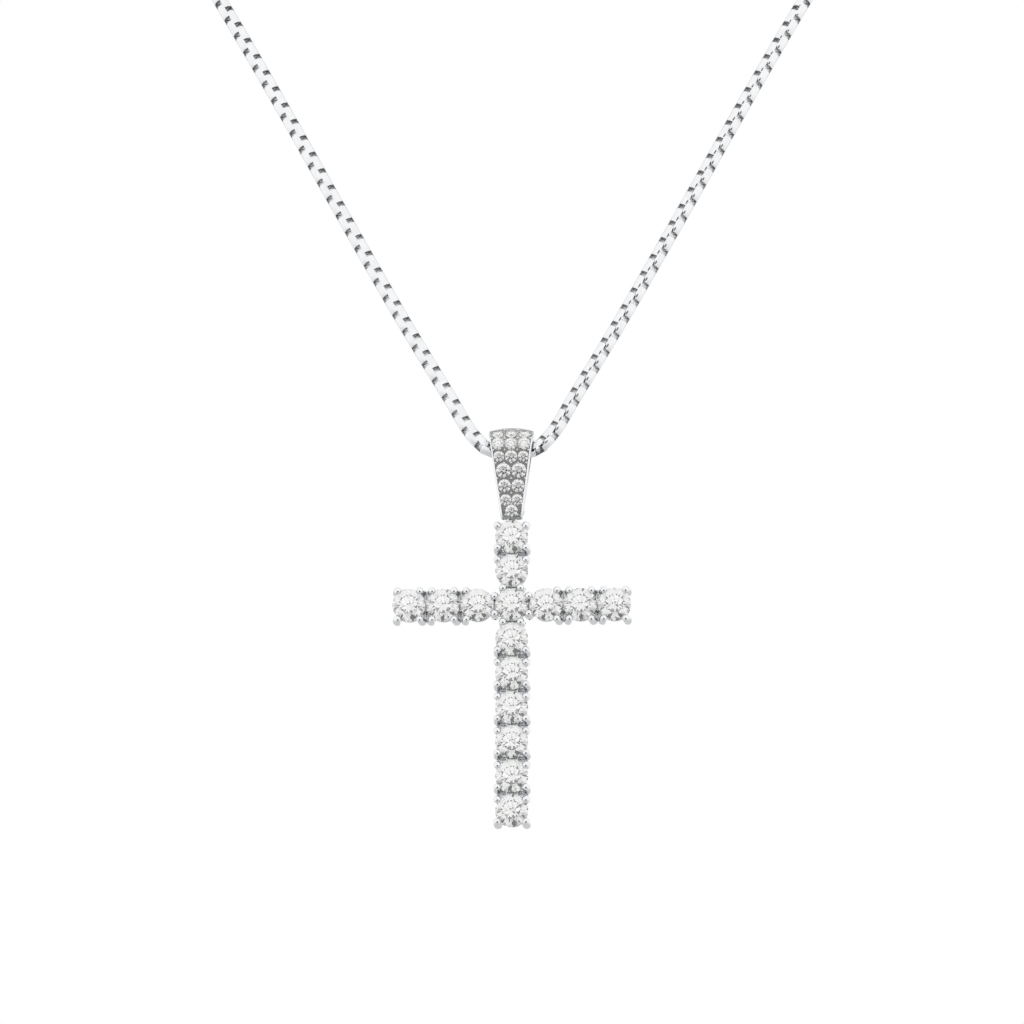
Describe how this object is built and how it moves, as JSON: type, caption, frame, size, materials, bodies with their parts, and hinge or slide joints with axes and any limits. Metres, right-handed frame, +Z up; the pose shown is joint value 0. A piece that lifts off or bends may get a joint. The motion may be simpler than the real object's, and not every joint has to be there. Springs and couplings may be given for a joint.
{
  "type": "cross pendant on chain",
  "caption": "Cross pendant of round clear stones in prong baskets, hanging by a tapered paved bail from a round box chain with a barrel clasp.",
  "frame": {"origin": "where the clasp's inner side rests on the back of the neck", "axes": "X is the viewer's right, +Y runs from the pendant's front towards the back of the neck, +Z is up against the hanging pendant"},
  "size_m": [0.1268, 0.1163, 0.1837],
  "materials": {
    "chain": "polished white gold",
    "clasp": "polished white gold",
    "bail": "polished white gold",
    "hanger_pin": "polished white gold",
    "cross_setting": "polished white gold",
    "stones": "brilliant cut, clear"
  },
  "bodies": {
    "necklace": {"chain": "chain", "clasp": "clasp"},
    "pendant": {"bail": "bail", "hanger_pin": "hanger_pin", "cross_setting": "cross_setting", "stone_centre": "stones", "stone_up_1": "stones", "stone_up_2": "stones", "stone_down_1": "stones", "stone_down_2": "stones", "stone_down_3": "stones", "stone_down_4": "stones", "stone_down_5": "stones", "stone_down_6": "stones", "stone_left_1": "stones", "stone_left_2": "stones", "stone_left_3": "stones", "stone_right_1": "stones", "stone_right_2": "stones", "stone_right_3": "stones"}
  },
  "joints": [
    {"name": "pendant_swing", "type": "hinge", "parent": "necklace", "child": "pendant", "pos_m": [0, -0.1103, -0.135], "axis": [1, 0, 0], "range_deg": [-160, 160]}
  ]
}
